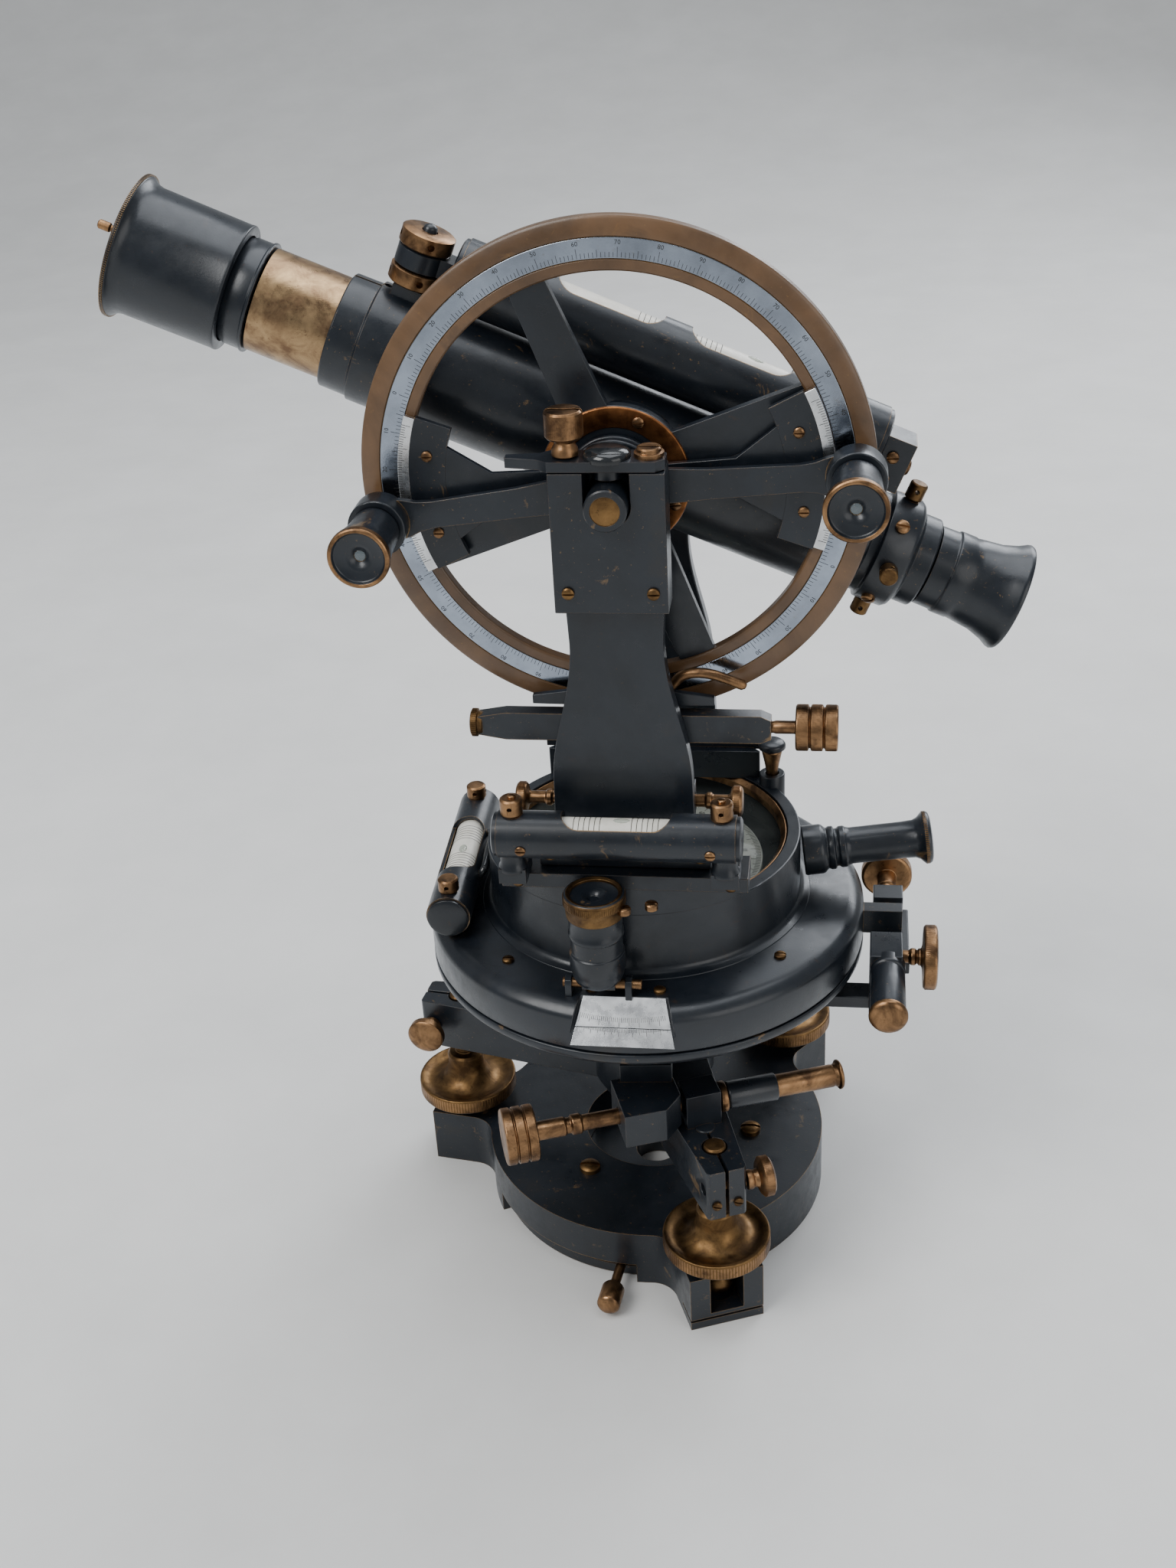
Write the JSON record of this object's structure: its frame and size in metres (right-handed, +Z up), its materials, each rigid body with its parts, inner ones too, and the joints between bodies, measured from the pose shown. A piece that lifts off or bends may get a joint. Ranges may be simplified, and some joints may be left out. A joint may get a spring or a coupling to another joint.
{
  "type": "transit theodolite",
  "caption": "Surveyor's transit on a screw-levelled base, with a compass drum, a vertical circle between two standards and a tilting telescope.",
  "frame": {"origin": "on the vertical axis, on the plane the base stands on", "axes": "+Z up along the vertical axis, -Y towards the vertical circle, -X towards the objective at rest"},
  "size_m": [0.2602, 0.1544, 0.3414],
  "materials": {
    "lacquer": "worn satin",
    "brass": "patinated",
    "silver": "brushed",
    "glass": "polished",
    "enamel": "satin"
  },
  "bodies": {
    "base": {"base_plate": "lacquer", "tribrach": "lacquer", "spring_plunger": "brass"},
    "lock": {"lock_ring": "lacquer", "lock_knob": "brass"},
    "lower_clamp": {"lower_clamp": "lacquer"},
    "lower_tangent_screw": {"lower_tangent_screw": "brass"},
    "lower_plate": {"lower_plate": "lacquer"},
    "alidade": {"upper_plate": "lacquer", "upper_spindle": "brass", "compass_bezel": "brass", "compass_glass": "glass", "compass_dial": "enamel", "compass_reader": "lacquer", "front_level_tube": "lacquer", "front_level_vial": "glass", "left_level_tube": "lacquer", "left_level_vial": "glass", "front_standard": "lacquer", "rear_standard": "lacquer", "front_bearing_cap": "lacquer", "rear_bearing_cap": "lacquer", "tangent_bar": "lacquer"},
    "compass_needle": {"compass_needle": "silver"},
    "compass_lifter": {"compass_lifter": "brass"},
    "front_reader": {"front_reader": "lacquer"},
    "upper_clamp": {"upper_clamp": "lacquer"},
    "upper_clamp_wheel": {"upper_clamp_wheel": "brass"},
    "upper_tangent_screw": {"upper_tangent_screw": "brass"},
    "front_cap_screw": {"front_cap_screw": "brass"},
    "rear_cap_screw": {"rear_cap_screw": "brass"},
    "clip_screw_left": {"clip_screw_left": "brass"},
    "clip_screw_right": {"clip_screw_right": "brass"},
    "vernier_frame": {"vernier_frame": "lacquer"},
    "magnifier_arms": {"magnifier_arms": "lacquer", "magnifier_left": "lacquer", "magnifier_right": "lacquer"},
    "clamp_arm": {"clamp_arm": "lacquer"},
    "vertical_tangent_screw": {"vertical_tangent_screw": "brass"},
    "telescope": {"telescope_barrel": "lacquer", "vertical_circle": "lacquer", "reticle_housing": "lacquer", "top_level_tube": "lacquer", "top_level_vial": "glass"},
    "draw": {"draw_tube": "brass", "objective_cell": "lacquer", "objective_lens": "glass", "ray_shade": "lacquer"},
    "dust_cap": {"dust_cap": "lacquer"},
    "focus_knob": {"focus_knob": "brass"},
    "eyepiece": {"eyepiece": "lacquer"},
    "level_nut_upper": {"level_nut_upper": "brass"},
    "level_nut_lower": {"level_nut_lower": "brass"},
    "foot_screw_front": {"foot_screw_front": "brass"},
    "arm_clamp_front": {"arm_clamp_front": "brass"},
    "foot_screw_rear": {"foot_screw_rear": "brass"},
    "arm_clamp_rear": {"arm_clamp_rear": "brass"},
    "foot_screw_left": {"foot_screw_left": "brass"},
    "arm_clamp_left": {"arm_clamp_left": "brass"}
  },
  "joints": [
    {"name": "lock_turn", "type": "hinge", "parent": "base", "child": "lock", "pos_m": [0, 0, 0.004], "axis": [0, 0, 1], "range_deg": [-50, 2]},
    {"name": "foot_screw_front_turn", "type": "hinge", "parent": "base", "child": "foot_screw_front", "pos_m": [0.02577, -0.06314, 0.027], "axis": [0, 0, 1], "range_deg": [-1080, 1080]},
    {"name": "arm_clamp_front_turn", "type": "hinge", "parent": "base", "child": "arm_clamp_front", "pos_m": [0.02887, -0.07074, 0.0555], "axis": [0.9259, 0.3778, 0], "range_deg": [0, 540]},
    {"name": "foot_screw_rear_turn", "type": "hinge", "parent": "base", "child": "foot_screw_rear", "pos_m": [0.0418, 0.05389, 0.027], "axis": [0, 0, 1], "range_deg": [-1080, 1080]},
    {"name": "arm_clamp_rear_turn", "type": "hinge", "parent": "base", "child": "arm_clamp_rear", "pos_m": [0.04683, 0.06037, 0.0555], "axis": [-0.7902, 0.6129, 0], "range_deg": [0, 540]},
    {"name": "foot_screw_left_turn", "type": "hinge", "parent": "base", "child": "foot_screw_left", "pos_m": [-0.06757, 0.00926, 0.027], "axis": [0, 0, 1], "range_deg": [-1080, 1080]},
    {"name": "arm_clamp_left_turn", "type": "hinge", "parent": "base", "child": "arm_clamp_left", "pos_m": [-0.07569, 0.01037, 0.0555], "axis": [-0.1357, -0.9907, 0], "range_deg": [0, 540]},
    {"name": "lower_clamp_swing", "type": "hinge", "parent": "base", "child": "lower_clamp", "pos_m": [0, 0, 0.08], "axis": [0, 0, 1], "range_deg": [-1.28, 1.28]},
    {"name": "lower_tangent_turn", "type": "hinge", "parent": "lower_clamp", "child": "lower_tangent_screw", "pos_m": [-0.02842, -0.06793, 0.0705], "axis": [0.9367, 0.3502, 0], "range_deg": [-863, 863]},
    {"name": "lower_motion", "type": "hinge", "parent": "base", "child": "lower_plate", "pos_m": [0, 0, 0.096], "axis": [0, 0, 1], "continuous": true},
    {"name": "upper_motion", "type": "hinge", "parent": "lower_plate", "child": "alidade", "pos_m": [0, 0, 0.117], "axis": [0, 0, 1], "continuous": true},
    {"name": "needle_swing", "type": "hinge", "parent": "alidade", "child": "compass_needle", "pos_m": [0, 0, 0.1306], "axis": [0, 0, 1], "continuous": true},
    {"name": "lifter_turn", "type": "hinge", "parent": "alidade", "child": "compass_lifter", "pos_m": [0.039, 0.0312, 0.1424], "axis": [0, 0, 1], "range_deg": [-180, 0]},
    {"name": "front_reader_tilt", "type": "hinge", "parent": "alidade", "child": "front_reader", "pos_m": [-0.0075, -0.0592, 0.1205], "axis": [1, 0, 0], "range_deg": [0, 25]},
    {"name": "upper_clamp_swing", "type": "hinge", "parent": "alidade", "child": "upper_clamp", "pos_m": [0, 0, 0.1], "axis": [0, 0, 1], "range_deg": [-1.5, 1.5]},
    {"name": "upper_clamp_wheel_turn", "type": "hinge", "parent": "upper_clamp", "child": "upper_clamp_wheel", "pos_m": [0.0876, -0.0172, 0.1045], "axis": [1, 0, 0], "range_deg": [0, 360]},
    {"name": "upper_tangent_turn", "type": "hinge", "parent": "upper_clamp", "child": "upper_tangent_screw", "pos_m": [0.077, 0.0284, 0.1045], "axis": [0, 1, 0], "range_deg": [-1450, 1450]},
    {"name": "front_cap_screw_turn", "type": "hinge", "parent": "alidade", "child": "front_cap_screw", "pos_m": [-0.011, -0.0426, 0.277], "axis": [0, 0, 1], "range_deg": [0, 720]},
    {"name": "rear_cap_screw_turn", "type": "hinge", "parent": "alidade", "child": "rear_cap_screw", "pos_m": [-0.011, 0.0426, 0.277], "axis": [0, 0, 1], "range_deg": [0, 720]},
    {"name": "clip_screw_left_turn", "type": "hinge", "parent": "alidade", "child": "clip_screw_left", "pos_m": [-0.0195, -0.03055, 0.1667], "axis": [-1, 0, 0], "range_deg": [-360, 360]},
    {"name": "clip_screw_right_turn", "type": "hinge", "parent": "alidade", "child": "clip_screw_right", "pos_m": [0.0195, -0.03055, 0.1667], "axis": [1, 0, 0], "range_deg": [-360, 360]},
    {"name": "vernier_frame_set", "type": "hinge", "parent": "alidade", "child": "vernier_frame", "pos_m": [0, 0, 0.2647], "axis": [0, 1, 0], "range_deg": [-1, 1]},
    {"name": "magnifier_swing", "type": "hinge", "parent": "alidade", "child": "magnifier_arms", "pos_m": [0, 0, 0.2647], "axis": [0, 1, 0], "range_deg": [-15, 15]},
    {"name": "clamp_arm_swing", "type": "hinge", "parent": "alidade", "child": "clamp_arm", "pos_m": [0, 0, 0.2647], "axis": [0, 1, 0], "range_deg": [-1.8, 1.8]},
    {"name": "vertical_tangent_turn", "type": "hinge", "parent": "alidade", "child": "vertical_tangent_screw", "pos_m": [0.0488, -0.0346, 0.1935], "axis": [1, 0, 0], "range_deg": [-1610, 1610]},
    {"name": "telescope_tilt", "type": "hinge", "parent": "alidade", "child": "telescope", "pos_m": [0, 0, 0.2647], "axis": [0, 1, 0], "range_deg": [-68, 202]},
    {"name": "focus_slide", "type": "slide", "parent": "telescope", "child": "draw", "axis": [-0.9205, 0, 0.3907], "range_m": [-0.02, 0.012]},
    {"name": "focus_turn", "type": "hinge", "parent": "telescope", "child": "focus_knob", "pos_m": [-0.04248, 0.0166, 0.2798], "axis": [0, 1, 0], "range_deg": [-230, 138]},
    {"name": "dust_cap_pull", "type": "slide", "parent": "draw", "child": "dust_cap", "axis": [-0.9205, 0, 0.3907], "range_m": [0, 0.012]},
    {"name": "eyepiece_slide", "type": "slide", "parent": "telescope", "child": "eyepiece", "axis": [0.9205, 0, -0.3907], "range_m": [0, 0.005]},
    {"name": "level_nut_upper_turn", "type": "hinge", "parent": "telescope", "child": "level_nut_upper", "pos_m": [-0.05009, 0, 0.32789], "axis": [0.3907, 0, 0.9205], "range_deg": [-360, 360]},
    {"name": "level_nut_lower_turn", "type": "hinge", "parent": "telescope", "child": "level_nut_lower", "pos_m": [-0.05357, 0, 0.3197], "axis": [0.3907, 0, 0.9205], "range_deg": [-360, 360]}
  ],
  "couplings": [
    {"joint": "focus_turn", "follows": "focus_slide", "rad_per_m": 200},
    {"joint": "lower_clamp_swing", "follows": "lower_tangent_turn", "ratio": -0.0014819},
    {"joint": "upper_clamp_swing", "follows": "upper_tangent_turn", "ratio": -0.0010335},
    {"joint": "clamp_arm_swing", "follows": "vertical_tangent_turn", "ratio": -0.0011177}
  ]
}
